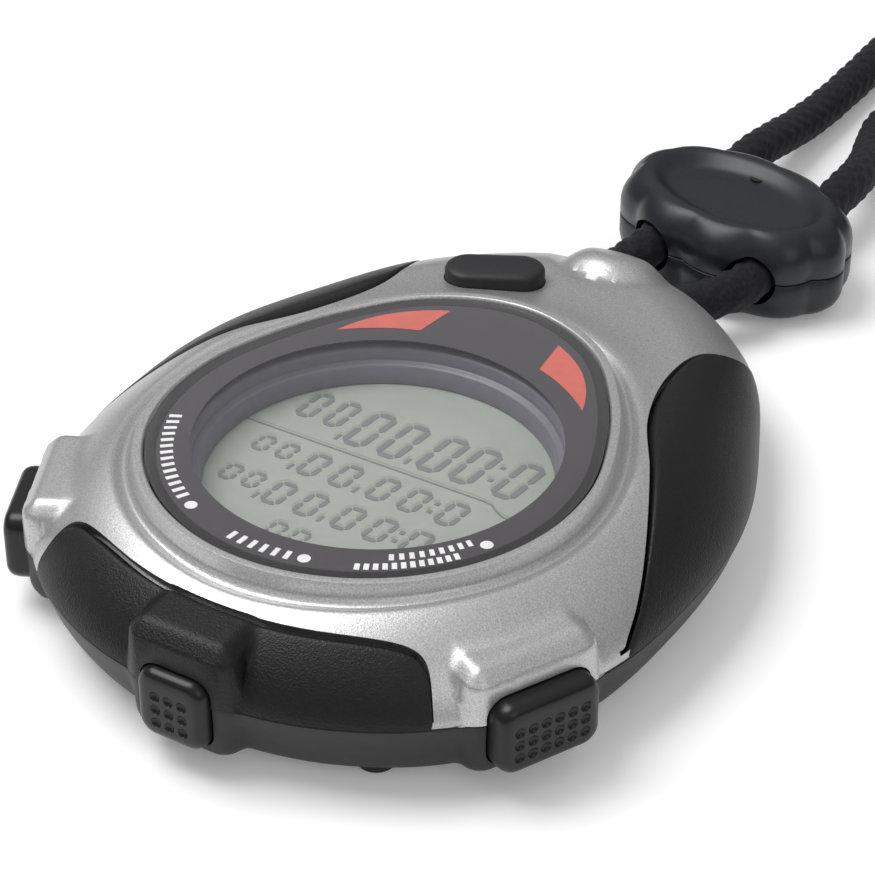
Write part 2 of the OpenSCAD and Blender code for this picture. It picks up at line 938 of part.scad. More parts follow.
module slider_lower()
    color([0.14, 0.15, 0.18])
        at_slider()
            difference() {
                union() {
                    slider_layer(0, 2, bore_z - 2);
                    slider_layer(1.2, 0.2, 2);
                }
                slider_bores();
                pin_holes(1);
            }

module slider_pins()
    color([0.3, 0.3, 0.32])
        at_slider()
            for (y = [-5.5, 5.5])
                disc(0.98, 1.6, 8, [0, y]);

front_shell();
rear_cover();
case_seal();
case_screws();
grip_button_end();
grip_left();
grip_right();
lens();
lens_gasket();
dial_mask();
display_bezel();
lcd_glass();
lcd_reflector();
zebra_strips();
module_frame();
circuit_board();
chip_blob();
quartz_crystal();
board_components();
board_screws();
side_switches();
piezo_buzzer();
buzzer_springs();
coin_cell();
contact_plus();
contact_minus();
battery_cap();
battery_cap_seal();
stem_seals();
cap_start();
stem_start();
clip_start();
spring_start();
cap_recall();
stem_recall();
clip_recall();
spring_recall();
cap_lap();
stem_lap();
clip_lap();
spring_lap();
mode_button();
mode_spring();
lanyard_post();
cord_bight();
lanyard_cord();
lanyard_coil();
cord_tie();
slider_upper();
slider_lower();
slider_pins();
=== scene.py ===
"""Looks of a hand-held digital stopwatch with a neck lanyard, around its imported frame."""
import math
import bpy
import bmesh
import numpy as np
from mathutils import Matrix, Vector


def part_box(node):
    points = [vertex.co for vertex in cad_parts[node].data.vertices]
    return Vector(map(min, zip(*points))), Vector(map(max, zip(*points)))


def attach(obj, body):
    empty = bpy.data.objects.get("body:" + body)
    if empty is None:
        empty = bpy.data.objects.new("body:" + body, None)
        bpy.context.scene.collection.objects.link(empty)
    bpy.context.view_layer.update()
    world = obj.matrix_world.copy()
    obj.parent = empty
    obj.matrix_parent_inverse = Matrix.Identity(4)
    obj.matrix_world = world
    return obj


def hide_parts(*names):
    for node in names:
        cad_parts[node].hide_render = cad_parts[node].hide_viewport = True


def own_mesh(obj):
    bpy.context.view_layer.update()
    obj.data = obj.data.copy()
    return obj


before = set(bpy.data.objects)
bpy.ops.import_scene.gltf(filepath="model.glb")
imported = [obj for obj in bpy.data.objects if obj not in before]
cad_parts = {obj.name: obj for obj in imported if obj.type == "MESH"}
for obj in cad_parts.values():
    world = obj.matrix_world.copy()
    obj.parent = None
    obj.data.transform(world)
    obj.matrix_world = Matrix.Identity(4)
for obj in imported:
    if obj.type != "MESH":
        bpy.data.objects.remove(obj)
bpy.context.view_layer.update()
MM = 0.001

# The dial's centre, about which every outline is drawn, and the main heights, in millimetres
WINDOW_Y = 2.6
DIAL_Y = (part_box("display_bezel")[0].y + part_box("display_bezel")[1].y) / 2 / MM - WINDOW_Y
SEAM_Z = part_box("rear_cover")[1].z / MM
LENS_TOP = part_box("lens")[1].z / MM
LIP_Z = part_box("front_shell")[1].z / MM
CREST_Z = LIP_Z - 1
FALL = 1.6
CORD_D = 4.8

CASE_RADII = [34.5, 34.7, 34.5, 32.7, 31.7, 33.3, 36.6, 43.7, 48.8]
LENS_RADII = [24.8, 24.4, 23.5, 22.3, 21, 20.2, 21, 23.2, 24.4]
GRIP_EDGE = [(31, 10.8), (30, 6), (27.6, 0), (23.6, -8), (19.3, -15.5),
             (16.8, -23), (16.4, -29.5), (17.6, -35.5)]
# Side buttons: the way they face from +Y, how far they sit to the right of that line and
# nearer to the dial, and the half width, front and top of the block around them
BLOCKS = {"start": (64, -5.7, 0.7, 6.8, 33.9, 12.9), "lap": (-64, 5.7, 0.7, 6.8, 33.9, 12.9),
          "recall": (0, 0.0, 0.0, 5.6, 34.9, 13.7)}
BLOCK_AT = {"start": 53, "lap": -53, "recall": 0}
CAP_WIDTH = {"start": 10.4, "lap": 10.4, "recall": 7.2}
CAP_Z = 6.5
CAP_H = 7.2
CAP_FACE = 36.2
CAP_L = 4.0
# Mode button: middle, turn in degrees, and length and width
MODE_AT = (7.7, -31.7)
MODE_TURN = 28
MODE_SIZE = (10.4, 5.2)
# Inside and underside: wall, lens ledge, top of the inner space, battery, screws
WALL = 2
LEDGE_Z = 14.9
CAVITY_TOP = 11.3
BATTERY_Y = -14
SCREWS = ((14.6, 25.8), (-14.6, 25.8), (17.5, -28), (-17.5, -28))
# Dial: radius of the printed window, height and thickness of the print, top of the display
THROAT_R = 17.45
PRINT_Z = 15.72
PRINT_T = 0.1
LCD_Z = 11.2
GRIP_GAP = 0.12


# ---- outlines and the shape of the case -------------------------------------

def catmull(a, b, c, d, t):
    return b + 0.5 * t * (c - a + t * (2 * a - 5 * b + 4 * c - d + t * (3 * (b - c) + d - a)))


def spoke(radii, angle):
    """Radius at each angle, clockwise from +Y, of an outline given by half of it."""
    n = len(radii) - 1
    turn = np.abs(np.asarray(angle, float)) % 360
    u = np.where(turn > 180, 360 - turn, turn) * n / 180
    i = np.minimum(np.floor(u).astype(int), n - 1)
    values = np.array(radii, float)

    def at(k):
        return values[np.where(k < 0, -k, np.where(k > n, 2 * n - k, k))]
    return catmull(at(i - 1), at(i), at(i + 1), at(i + 2), u - i)


def case_r(a):
    return spoke(CASE_RADII, a)


def lens_r(a):
    return spoke(LENS_RADII, a)


def polar(a, r, z=0.0):
    a = np.radians(a)
    x = r * np.sin(a)
    return np.stack([x, r * np.cos(a), np.broadcast_to(z, x.shape)], -1)


def smooth(t):
    t = np.clip(t, 0, 1)
    return t * t * (3 - 2 * t)


def smooth_max(a, b, k):
    h = np.clip(0.5 + (a - b) / (2 * k), 0, 1)
    return b + (a - b) * h + k * h * (1 - h)


def block_inside(x, y, block, shrink=0.0):
    """Distance inside the rounded plan of the block around a side button."""
    angle, aside, back, half, front, _ = block
    a = math.radians(angle)
    t = np.abs(x * math.cos(a) - y * math.sin(a) - aside)
    s = x * math.sin(a) + y * math.cos(a) + back
    corner = 1.8
    qx, qy = t - (half - shrink - corner), s - (front - shrink - corner)
    far = np.hypot(np.maximum(qx, 0), np.maximum(qy, 0)) + np.minimum(np.maximum(qx, qy), 0)
    return np.where(s > 0, corner - far, -50.0)


def plan_inside(x, y, case_in, block_in):
    """Distance inside the case's plan with its blocks, blended where they meet."""
    r = np.hypot(x, y)
    inside = case_r(np.degrees(np.arctan2(x, y))) - r - case_in
    for block in BLOCKS.values():
        inside = smooth_max(inside, block_inside(x, y, block, block_in), 1.1)
    return inside


def outline_r(a, case_in=0.0, block_in=0.0):
    """Radius of the case's plan with its blocks, found by halving."""
    a = np.asarray(a, float)
    low, high = np.full(a.shape, 20.0), np.full(a.shape, 56.0)
    for _ in range(34):
        mid = (low + high) / 2
        p = polar(a, mid)
        hit = plan_inside(p[..., 0], p[..., 1], case_in, block_in) > 0
        low, high = np.where(hit, mid, low), np.where(hit, high, mid)
    return low


def skin_z(x, y):
    """Height of the front's outer surface, blocks and hood included."""
    a = np.degrees(np.arctan2(x, y))
    r = np.hypot(x, y)
    d = np.maximum(case_r(a) - r, 0)
    blocks = {name: block_inside(x, y, block) for name, block in BLOCKS.items()}
    outside = r - lens_r(a)
    low = CREST_Z - FALL * np.clip((-y - 5) / 25, 0, 1.6)
    top = low + (CREST_Z - low) * (1 - np.clip(outside / 8, 0, 1)) ** 2
    t = 1 - np.clip(d / 9, 0, 1)
    z = SEAM_Z + (top - SEAM_Z) * (1 - t ** 1.5) ** (1 / 1.5)
    for name, inside in blocks.items():
        bevel = 1.3
        rise = inside - np.logaddexp(0, (inside - bevel) * 5) / 5
        top = BLOCKS[name][5] - bevel + rise + 10 * np.minimum(inside, 0)
        z = smooth_max(z, top, 0.7)
    # hood over the lanyard's exit, with a shallow scoop around it
    ring = np.hypot(x / 5.3, (y + 44.5) / 5.5)
    z = z - 0.5 * np.exp(-((ring - 1.12) / 0.18) ** 2) * smooth((d - 0.5) / 3)
    z = z + 1.3 * smooth((1.18 - ring) / 0.7) * smooth(d / 2.6)
    # groove and raised lip around the lens
    z = z - 0.8 * np.exp(-((outside - 2.0) / 0.72) ** 2)
    lip = smooth((1.35 - outside) / 0.4)
    return z + (LIP_Z - 0.32 * smooth((0.3 - outside) / 0.3) ** 2 - z) * lip


# ---- mesh helpers -----------------------------------------------------------

def new_object(name, verts, faces, sharp=40):
    mesh = bpy.data.meshes.new(name)
    mesh.from_pydata([tuple(v) for v in verts], [], [tuple(f) for f in faces])
    mesh.validate()
    bm = bmesh.new()
    bm.from_mesh(mesh)
    bmesh.ops.remove_doubles(bm, verts=bm.verts, dist=1e-7)
    bmesh.ops.recalc_face_normals(bm, faces=bm.faces)
    bm.to_mesh(mesh)
    bm.free()
    obj = bpy.data.objects.new(name, mesh)
    bpy.context.scene.collection.objects.link(obj)
    shade(obj, sharp)
    return obj


def shade(obj, sharp=40):
    obj.data.polygons.foreach_set("use_smooth", [True] * len(obj.data.polygons))
    obj.data.set_sharp_from_angle(angle=math.radians(sharp))


def to_frame(points):
    """Dial millimetres to metres in the frame."""
    p = np.asarray(points, float).reshape(-1, 3)
    return (p + [0, DIAL_Y, 0]) * MM


def rings_object(name, rings, wrap=False, start="cap", end="cap", sharp=40):
    """Surface through rings of points. wrap joins the last ring to the first; otherwise the
    two ends are closed by a flat cap or by a fan about their middle."""
    n = len(rings[0])
    m = len(rings)
    verts = list(to_frame(np.concatenate([np.asarray(r, float) for r in rings])))
    faces = []
    for k in range(m if wrap else m - 1):
        a, b = k * n, ((k + 1) % m) * n
        faces += [(a + i, a + (i + 1) % n, b + (i + 1) % n, b + i) for i in range(n)]
    if not wrap:
        for where, base, way in ((start, 0, -1), (end, (m - 1) * n, 1)):
            ring = [base + i for i in range(n)][::way]
            if where == "cap":
                faces.append(ring)
            elif where == "fan":
                verts.append(np.mean([verts[i] for i in ring], axis=0))
                faces += [(ring[i], ring[(i + 1) % n], len(verts) - 1) for i in range(n)]
    return new_object(name, verts, faces, sharp)


def patch_object(name, top, under, sharp=40):
    """Closed plate between two grids of points with the same layout."""
    rows, cols = top.shape[:2]
    pts = np.concatenate([top.reshape(-1, 3), under.reshape(-1, 3)])
    count = rows * cols

    def at(i, j, side):
        return side * count + i * cols + j
    faces = []
    for i in range(rows - 1):
        for j in range(cols - 1):
            faces.append((at(i, j, 0), at(i, j + 1, 0), at(i + 1, j + 1, 0), at(i + 1, j, 0)))
            faces.append((at(i, j, 1), at(i + 1, j, 1), at(i + 1, j + 1, 1), at(i, j + 1, 1)))
    rim = ([(i, 0) for i in range(rows)] + [(rows - 1, j) for j in range(1, cols)]
           + [(i, cols - 1) for i in range(rows - 2, -1, -1)]
           + [(0, j) for j in range(cols - 2, 0, -1)])
    for k, (i, j) in enumerate(rim):
        p, q = rim[(k + 1) % len(rim)]
        faces.append((at(i, j, 0), at(p, q, 0), at(p, q, 1), at(i, j, 1)))
    return new_object(name, to_frame(pts), faces, sharp)


def apply_modifiers(obj):
    graph = bpy.context.evaluated_depsgraph_get()
    mesh = bpy.data.meshes.new_from_object(obj.evaluated_get(graph))
    obj.modifiers.clear()
    obj.data = mesh
    return obj


def boolean(obj, others, operation="DIFFERENCE", sharp=40):
    for other in others:
        mod = obj.modifiers.new("cut", "BOOLEAN")
        mod.solver = "MANIFOLD"
        mod.operation = operation
        mod.object = other
    bpy.context.view_layer.update()
    apply_modifiers(obj)
    for other in others:
        bpy.data.objects.remove(other, do_unlink=True)
    shade(obj, sharp)
    return obj


def rounded_section(w, h, r, steps=8):
    """Points of a rounded rectangle about the origin."""
    out = []
    for k, (sx, sy) in enumerate(((1, 1), (-1, 1), (-1, -1), (1, -1))):
        for i in range(steps + 1):
            b = math.radians(90 * k + 90 * i / steps)
            out.append((sx * (w / 2 - r) + r * math.cos(b), sy * (h / 2 - r) + r * math.sin(b)))
    return np.array(out)


def button_frame(name, points):
    """Points with x across, y outwards and z up, taken to a side button's place."""
    angle, aside, back = BLOCKS[name][:3]
    p = np.asarray(points, float) + [aside, -back, 0]
    a = math.radians(angle)
    return np.stack([p[..., 0] * math.cos(a) + p[..., 1] * math.sin(a),
                     -p[..., 0] * math.sin(a) + p[..., 1] * math.cos(a), p[..., 2]], -1)


def bar_object(name, button, w, h, r, stations, z):
    """Rounded bar along a button's axis through stations of (distance, inset)."""
    rings = []
    for s, inset in stations:
        sec = rounded_section(w - 2 * inset, h - 2 * inset, max(r - inset * 0.6, 0.2))
        ring = np.stack([sec[:, 0], np.full(len(sec), s), z + sec[:, 1]], -1)
        rings.append(button_frame(button, ring))
    return rings_object(name, rings)


def cylinder(name, x, y, r, z0, z1, steps=64):
    a = np.arange(steps) * 360 / steps
    ring = polar(a, r)[:, :2] + [x, y]
    return rings_object(name, [np.column_stack([ring, np.full(steps, z)]) for z in (z0, z1)])


# ---- materials --------------------------------------------------------------

def material(name, color, rough, metallic=0.0, grain=(), speck=None, **sockets):
    """Principled material. grain is a list of (texture, scale, strength, distance) bumps;
    speck is (scale, darkest, lightest) for a fine variation of the colour."""
    mat = bpy.data.materials.new(name)
    mat.use_nodes = True
    nodes, links = mat.node_tree.nodes, mat.node_tree.links
    shader = nodes["Principled BSDF"]
    shader.inputs["Base Color"].default_value = (*color, 1)
    shader.inputs["Roughness"].default_value = rough
    shader.inputs["Metallic"].default_value = metallic
    for key, value in sockets.items():
        shader.inputs[key.replace("_", " ")].default_value = value
    coords = nodes.new("ShaderNodeTexCoord")
    last = None
    for kind, scale, strength, distance in grain:
        if kind == "cells":
            tex = nodes.new("ShaderNodeTexVoronoi")
            tex.feature = "F1"
            out = tex.outputs["Distance"]
        else:
            tex = nodes.new("ShaderNodeTexNoise")
            tex.inputs["Detail"].default_value = 3
            out = tex.outputs["Fac"]
        tex.inputs["Scale"].default_value = scale
        links.new(coords.outputs["Object"], tex.inputs["Vector"])
        bump = nodes.new("ShaderNodeBump")
        bump.inputs["Strength"].default_value = strength
        bump.inputs["Distance"].default_value = distance
        links.new(out, bump.inputs["Height"])
        if last:
            links.new(last.outputs["Normal"], bump.inputs["Normal"])
        last = bump
    if last:
        links.new(last.outputs["Normal"], shader.inputs["Normal"])
    if speck:
        scale, dark, light = speck
        tex = nodes.new("ShaderNodeTexNoise")
        tex.inputs["Scale"].default_value = scale
        tex.inputs["Detail"].default_value = 2
        links.new(coords.outputs["Object"], tex.inputs["Vector"])
        ramp = nodes.new("ShaderNodeValToRGB")
        ramp.color_ramp.elements[0].position = 0.35
        ramp.color_ramp.elements[1].position = 0.65
        ramp.color_ramp.elements[0].color = (*[c * dark for c in color], 1)
        ramp.color_ramp.elements[1].color = (*[min(c * light, 1) for c in color], 1)
        links.new(tex.outputs["Fac"], ramp.inputs["Fac"])
        links.new(ramp.outputs["Color"], shader.inputs["Base Color"])
    return mat


SILVER = material("silver_paint", (0.51, 0.505, 0.51), 0.38, 0.75,
                  grain=[("noise", 5200, 0.35, 0.00006)], speck=(7000, 0.82, 1.18))
COVER = material("cover_plastic", (0.024, 0.022, 0.0235), 0.5,
                 grain=[("noise", 6000, 0.15, 0.00004)], speck=(900, 0.92, 1.08),
                 Specular_IOR_Level=0.35)
GRIP = material("grip_rubber", (0.005, 0.005, 0.0055), 0.4,
                grain=[("noise", 5200, 0.8, 0.00009)], speck=(3000, 0.8, 1.25),
                Specular_IOR_Level=0.32)
BUTTON = material("button_plastic", (0.008, 0.008, 0.009), 0.3,
                  grain=[("noise", 5000, 0.12, 0.00004)], speck=(1500, 0.9, 1.1),
                  Specular_IOR_Level=0.35)
MODE = material("mode_plastic", (0.016, 0.015, 0.017), 0.5,
                grain=[("noise", 7000, 0.12, 0.00004)], speck=(1500, 0.9, 1.1),
                Specular_IOR_Level=0.4)
PRINT = material("dial_print", (0.05, 0.043, 0.049), 0.5,
                 grain=[("noise", 9000, 0.05, 0.00002)], speck=(600, 0.97, 1.03))
# painted shade: a near-black band under the lens's bevelled rim, where the bevel looks dark
LENS_EDGE_SHADE = material("painted_lens_edge_shade", (0.012, 0.011, 0.012), 0.3, grain=[("noise", 9000, 0.05, 0.00002)],
                speck=(600, 0.97, 1.03))
RED = material("red_print", (0.6, 0.12, 0.09), 0.5, grain=[("noise", 9000, 0.05, 0.00002)],
               speck=(800, 0.96, 1.04))
WHITE = material("white_print", (0.8, 0.8, 0.8), 0.5, grain=[("noise", 9000, 0.05, 0.00002)],
                 speck=(800, 0.96, 1.04))
BEZEL = material("bezel_plastic", (0.165, 0.158, 0.195), 0.4,
                 grain=[("noise", 6000, 0.08, 0.00003)], speck=(900, 0.95, 1.05))
LCD = material("display_glass", (0.34, 0.375, 0.335), 0.35,
               grain=[("noise", 4000, 0.04, 0.00002)], speck=(500, 0.97, 1.03))
SEGMENT = material("segments", (0.18, 0.2, 0.205), 0.5, grain=[("noise", 9000, 0.03, 0.00002)],
                   speck=(900, 0.95, 1.05))
SHADOW = material("segment_shadow", (0.29, 0.31, 0.26), 0.5,
                  grain=[("noise", 9000, 0.03, 0.00002)], speck=(900, 0.97, 1.03))
CORD = material("braid", (0.008, 0.008, 0.011), 0.75, grain=[("noise", 9000, 0.5, 0.00012)],
                speck=(2500, 0.55, 1.6), Specular_IOR_Level=0.25, Sheen_Weight=0.08,
                Sheen_Roughness=0.4)
SLIDER = material("slider_rubber", (0.011, 0.0125, 0.017), 0.34,
                  grain=[("noise", 5000, 0.12, 0.00004)], speck=(1800, 0.88, 1.12),
                  Specular_IOR_Level=0.4)
STRAP = material("strap_weave", (0.06, 0.06, 0.065), 0.8,
                 grain=[("cells", 2600, 0.6, 0.0002)], speck=(3000, 0.7, 1.3))
RUBBER = material("seal_rubber", (0.015, 0.015, 0.015), 0.5,
                  grain=[("noise", 4000, 0.2, 0.00005)], speck=(1500, 0.9, 1.1))
STEEL = material("steel", (0.55, 0.55, 0.56), 0.3, 1.0,
                 grain=[("noise", 5000, 0.2, 0.00003)], speck=(3000, 0.9, 1.1))
BRASS = material("brass", (0.6, 0.45, 0.2), 0.3, 1.0,
                 grain=[("noise", 5000, 0.2, 0.00003)], speck=(3000, 0.9, 1.1))
BLACK_STEEL = material("black_steel", (0.03, 0.03, 0.032), 0.4, 0.6,
                       grain=[("noise", 5000, 0.2, 0.00003)], speck=(3000, 0.9, 1.1))
WHITE_PLASTIC = material("white_plastic", (0.7, 0.7, 0.68), 0.45,
                         grain=[("noise", 3000, 0.1, 0.00004)], speck=(700, 0.96, 1.04))
BOARD = material("circuit_green", (0.02, 0.1, 0.045), 0.35,
                 grain=[("cells", 1400, 0.3, 0.00004)], speck=(1200, 0.7, 1.4))
EPOXY = material("epoxy", (0.01, 0.01, 0.01), 0.25,
                 grain=[("noise", 1500, 0.1, 0.00005)], speck=(900, 0.9, 1.1))
ELASTOMER = material("elastomer", (0.5, 0.25, 0.2), 0.6,
                     grain=[("noise", 3000, 0.2, 0.00005)], speck=(1500, 0.85, 1.15))
CERAMIC = material("ceramic", (0.3, 0.2, 0.1), 0.5,
                   grain=[("noise", 3000, 0.2, 0.00005)], speck=(1500, 0.85, 1.15))


def lens_material():
    """Clear acrylic: nearly invisible face on, brighter towards the edge of view."""
    mat = material("clear_acrylic", (0.75, 0.76, 0.77), 0.04,
                   grain=[("noise", 900, 0.03, 0.00003)], IOR=1.49)
    nodes, links = mat.node_tree.nodes, mat.node_tree.links
    facing = nodes.new("ShaderNodeLayerWeight")
    facing.inputs["Blend"].default_value = 0.3
    span = nodes.new("ShaderNodeMapRange")
    span.inputs["From Min"].default_value = 0.25
    span.inputs["To Min"].default_value = 0.015
    span.inputs["To Max"].default_value = 0.16
    links.new(facing.outputs["Facing"], span.inputs["Value"])
    links.new(span.outputs["Result"], nodes["Principled BSDF"].inputs["Alpha"])
    return mat


LENS = lens_material()


def finish_piece(obj, mat, body, slot, *nodes):
    """Material, body, material slot (not used) and the CAD nodes that a piece stands for."""
    obj.data.materials.clear()
    obj.data.materials.append(mat)
    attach(obj, body)
    if nodes:
        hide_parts(*nodes)
    return obj


# ---- camera and lights ------------------------------------------------------

def make_camera():
    azimuth, elevation = math.radians(211.73), math.radians(33.81)
    back = Vector((math.sin(azimuth) * math.cos(elevation),
                   -math.cos(azimuth) * math.cos(elevation), math.sin(elevation)))
    data = bpy.data.cameras.new("camera")
    data.lens = 113.5
    data.sensor_width = 36
    data.clip_start = 0.01
    cam = bpy.data.objects.new("camera", data)
    cam.rotation_mode = "QUATERNION"
    cam.rotation_quaternion = (-back).to_track_quat("-Z", "Y")
    cam.location = (-0.11686, 0.18100 + DIAL_Y * MM, 0.15873)
    bpy.context.scene.collection.objects.link(cam)
    bpy.context.scene.camera = cam


def area_light(name, place, target, size, power, size_y=None):
    data = bpy.data.lights.new(name, "AREA")
    data.shape = "RECTANGLE"
    data.size = size
    data.size_y = size_y or size
    data.energy = power
    obj = bpy.data.objects.new(name, data)
    obj.location = place
    obj.rotation_mode = "QUATERNION"
    obj.rotation_quaternion = (Vector(target) - Vector(place)).to_track_quat("-Z", "Y")
    bpy.context.scene.collection.objects.link(obj)


def make_studio():
    world = bpy.data.worlds.new("studio")
    world.use_nodes = True
    nodes, links = world.node_tree.nodes, world.node_tree.links
    coords = nodes.new("ShaderNodeTexCoord")
    parts = nodes.new("ShaderNodeSeparateXYZ")
    ramp = nodes.new("ShaderNodeValToRGB")
    for element, (position, level) in zip(ramp.color_ramp.elements, ((0.0, 0.12), (0.9, 1.0))):
        element.position = position
        element.color = (level, level, level, 1)
    links.new(coords.outputs["Generated"], parts.inputs["Vector"])
    links.new(parts.outputs["Z"], ramp.inputs["Fac"])
    links.new(ramp.outputs["Color"], nodes["Background"].inputs["Color"])
    nodes["Background"].inputs["Strength"].default_value = 0.68
    bpy.context.scene.world = world
    bpy.context.scene.view_settings.view_transform = "Standard"
    area_light("key", (0.24, 0.07, 0.5), (0, 0, 0), 0.34, 2.2)
    area_light("fill", (-0.45, 0.25, 0.35), (0, 0, 0), 0.3, 0.3)
    verts = [(-3, -3, -0.0002), (3, -3, -0.0002), (3, 3, -0.0002), (-3, 3, -0.0002)]
    floor = new_object("floor", verts, [(0, 1, 2, 3)])
    floor.data.materials.append(material("white_floor", (0.9, 0.9, 0.9), 0.9,
                                         Emission_Color=(1, 1, 1, 1), Emission_Strength=0.16))


make_camera()
make_studio()


# ---- cord -------------------------------------------------------------------

ROUTE_START = [(5.2, -48.9, 4.8), (5.1, -51, 4.8), (4.5, -54, 5.1), (3.8, -57, 5.4),
               (3.7, -61, 5.4), (3.7, -67, 5.4), (3.7, -75, 5.4), (3.7, -84, 5.3),
               (3.7, -90, 4.6), (3.7, -96, 3.5), (3.7, -103, 2.7), (3.7, -111, 2.4),
               (3.8, -120, 2.4), (4.1, -130, 2.5), (4, -140, 2.6), (2.1, -149, 2.7)]
ROUTE_END = [(-5.2, -48.9, 4.8), (-5.9, -51, 4.8), (-7.7, -53.6, 5.1), (-9, -56, 5.4),
             (-9.3, -60, 5.4), (-9.3, -67, 5.4), (-9.3, -76, 5.4), (-9.2, -85, 5.2),
             (-8.2, -91, 4.2), (-6.4, -97, 3.1), (-4.8, -103, 2.5), (-4.7, -109, 2.4),
             (-7.4, -114.6, 3.2), (-13, -118.6, 5.6), (-20.5, -121.4, 9.4),
             (-28.6, -125.2, 12), (-35.5, -130.6, 12.1)]
COIL = (-24, -153)


def coil_points():
    """Turns of the coil: two on the surface, two on them and most of one nested on top."""
    first, last = 8.7, 117.2
    turns = 5 + (first - last) / 360
    points = []
    count = 100
    for i in range(1, count):
        t = turns * i / count
        r = 26.4 - 4.8 * smooth((t - 0.94) / 0.12) + 4.8 * smooth((t - 2.8) / 0.1)
        r = r - 2.4 * smooth((t - 3.72) / 0.12) + 1.2 * smooth((t - turns + 0.2) / 0.2)
        z = 2.7 + 4.8 * smooth((t - 1.88) / 0.12) + 4.6 * smooth((t - 3.7) / 0.12)
        a = math.radians(first - 360 * t)
        points.append((COIL[0] + r * math.cos(a), COIL[1] + r * math.sin(a), float(z)))
    return points


def spline_through(points, step):
    """Evenly spaced points on a smooth curve through the given ones."""
    p = np.asarray(points, float)
    p = np.vstack([2 * p[0] - p[1], p, 2 * p[-1] - p[-2]])
    fine = []
    for i in range(1, len(p) - 2):
        t = np.linspace(0, 1, 24, endpoint=False)[:, None]
        fine.append(catmull(p[i - 1], p[i], p[i + 1], p[i + 2], t))
    fine = np.vstack(fine + [p[-2][None]])
    far = np.concatenate([[0], np.cumsum(np.linalg.norm(np.diff(fine, axis=0), axis=1))])
    count = int(far[-1] / step)
    at = np.linspace(0, far[-1], count + 1)
    return np.stack([np.interp(at, far, fine[:, k]) for k in range(3)], -1), far[-1]


def tube_frames(path):
    """Directions along and across a path, turned as little as possible."""
    along = np.gradient(path, axis=0)
    along /= np.linalg.norm(along, axis=1)[:, None]
    side = np.cross(along[0], (0, 0, 1.0))
    sides = []
    for t in along:
        side = side - t * np.dot(side, t)
        side = side / np.linalg.norm(side)
        sides.append(side)
    sides = np.array(sides)
    return along, sides, np.cross(sides, along)


def make_cord():
    """One braided cord from the case, through the slider and the coil and back."""
    control = ROUTE_START + coil_points() + ROUTE_END[::-1]
    path, length = spline_through(control, 0.42)
    _, side, up = tube_frames(path)
    around = 28
    strands = 12
    pitch = 15.0
    s = np.arange(len(path)) * length / (len(path) - 1)
    rings = []
    for i, centre in enumerate(path):
        b = np.arange(around) * 2 * math.pi / around
        u = strands / 2 * (b / math.pi) / 2 + s[i] / pitch * strands / 2
        v = strands / 2 * (b / math.pi) / 2 - s[i] / pitch * strands / 2
        bump = np.abs(np.sin(math.pi * u)) * np.abs(np.sin(math.pi * v))
        slow = 0.05 * math.sin(s[i] * 0.9) + 0.04 * math.sin(s[i] * 0.37 + 1)
        r = CORD_D / 2 - 0.32 + 0.32 * bump ** 0.7 + slow * 0.5
        rings.append(centre + r[:, None] * (np.cos(b)[:, None] * side[i]
                                            + np.sin(b)[:, None] * up[i]))
    obj = rings_object("lanyard_loop", rings, sharp=180)
    finish_piece(obj, CORD, "case", "cord_black", "lanyard_cord", "lanyard_coil")
    metres = to_frame(path)
    return obj, metres, length * MM


cord_loop, cord_path, cord_length = make_cord()


# ---- case -------------------------------------------------------------------

def case_angles():
    """Angles around the case, closer together at the blocks and the hood."""
    out = [0.0]
    while out[-1] < 360 - 0.2:
        a = out[-1]
        near = min(abs((a - b + 180) % 360 - 180) - w for b, w in
                   ((54, 15), (-54, 15), (0, 12), (180, 12)))
        out.append(a + (0.4 if near < 0 else 1.0))
    step = 360 / out[-1]
    return np.array(out[:-1]) * step


ANGLES = case_angles()


def window_ring(a, r, z):
    """Ring of a circle about the window's centre, at the angles a about the dial's."""
    s, c = np.sin(np.radians(a)), np.cos(np.radians(a))
    reach = WINDOW_Y * c + np.sqrt(np.maximum(r ** 2 - (WINDOW_Y * s) ** 2, 0))
    return polar(a, reach, z)


def cavity_ring(a, inset, z):
    c = np.cos(np.radians(a))
    r = case_r(a) - WALL - inset
    r = np.where(c < -0.3, np.minimum(r, 36.6 / np.maximum(-c, 0.3)), r)
    for b in BLOCK_AT.values():
        off = np.abs((a - b + 180) % 360 - 180)
        near = 1 - smooth((off - 13) / 7)
        flat = 28.6 if b == 0 else 27.9 / np.cos(np.radians(11 - off))
        r = np.where(r > 28.6, r + near * (flat - r), r)
    return polar(a, r, z)


def skin_ring(a, r):
    p = polar(a, r)
    p[:, 2] = skin_z(p[:, 0], p[:, 1])
    return p


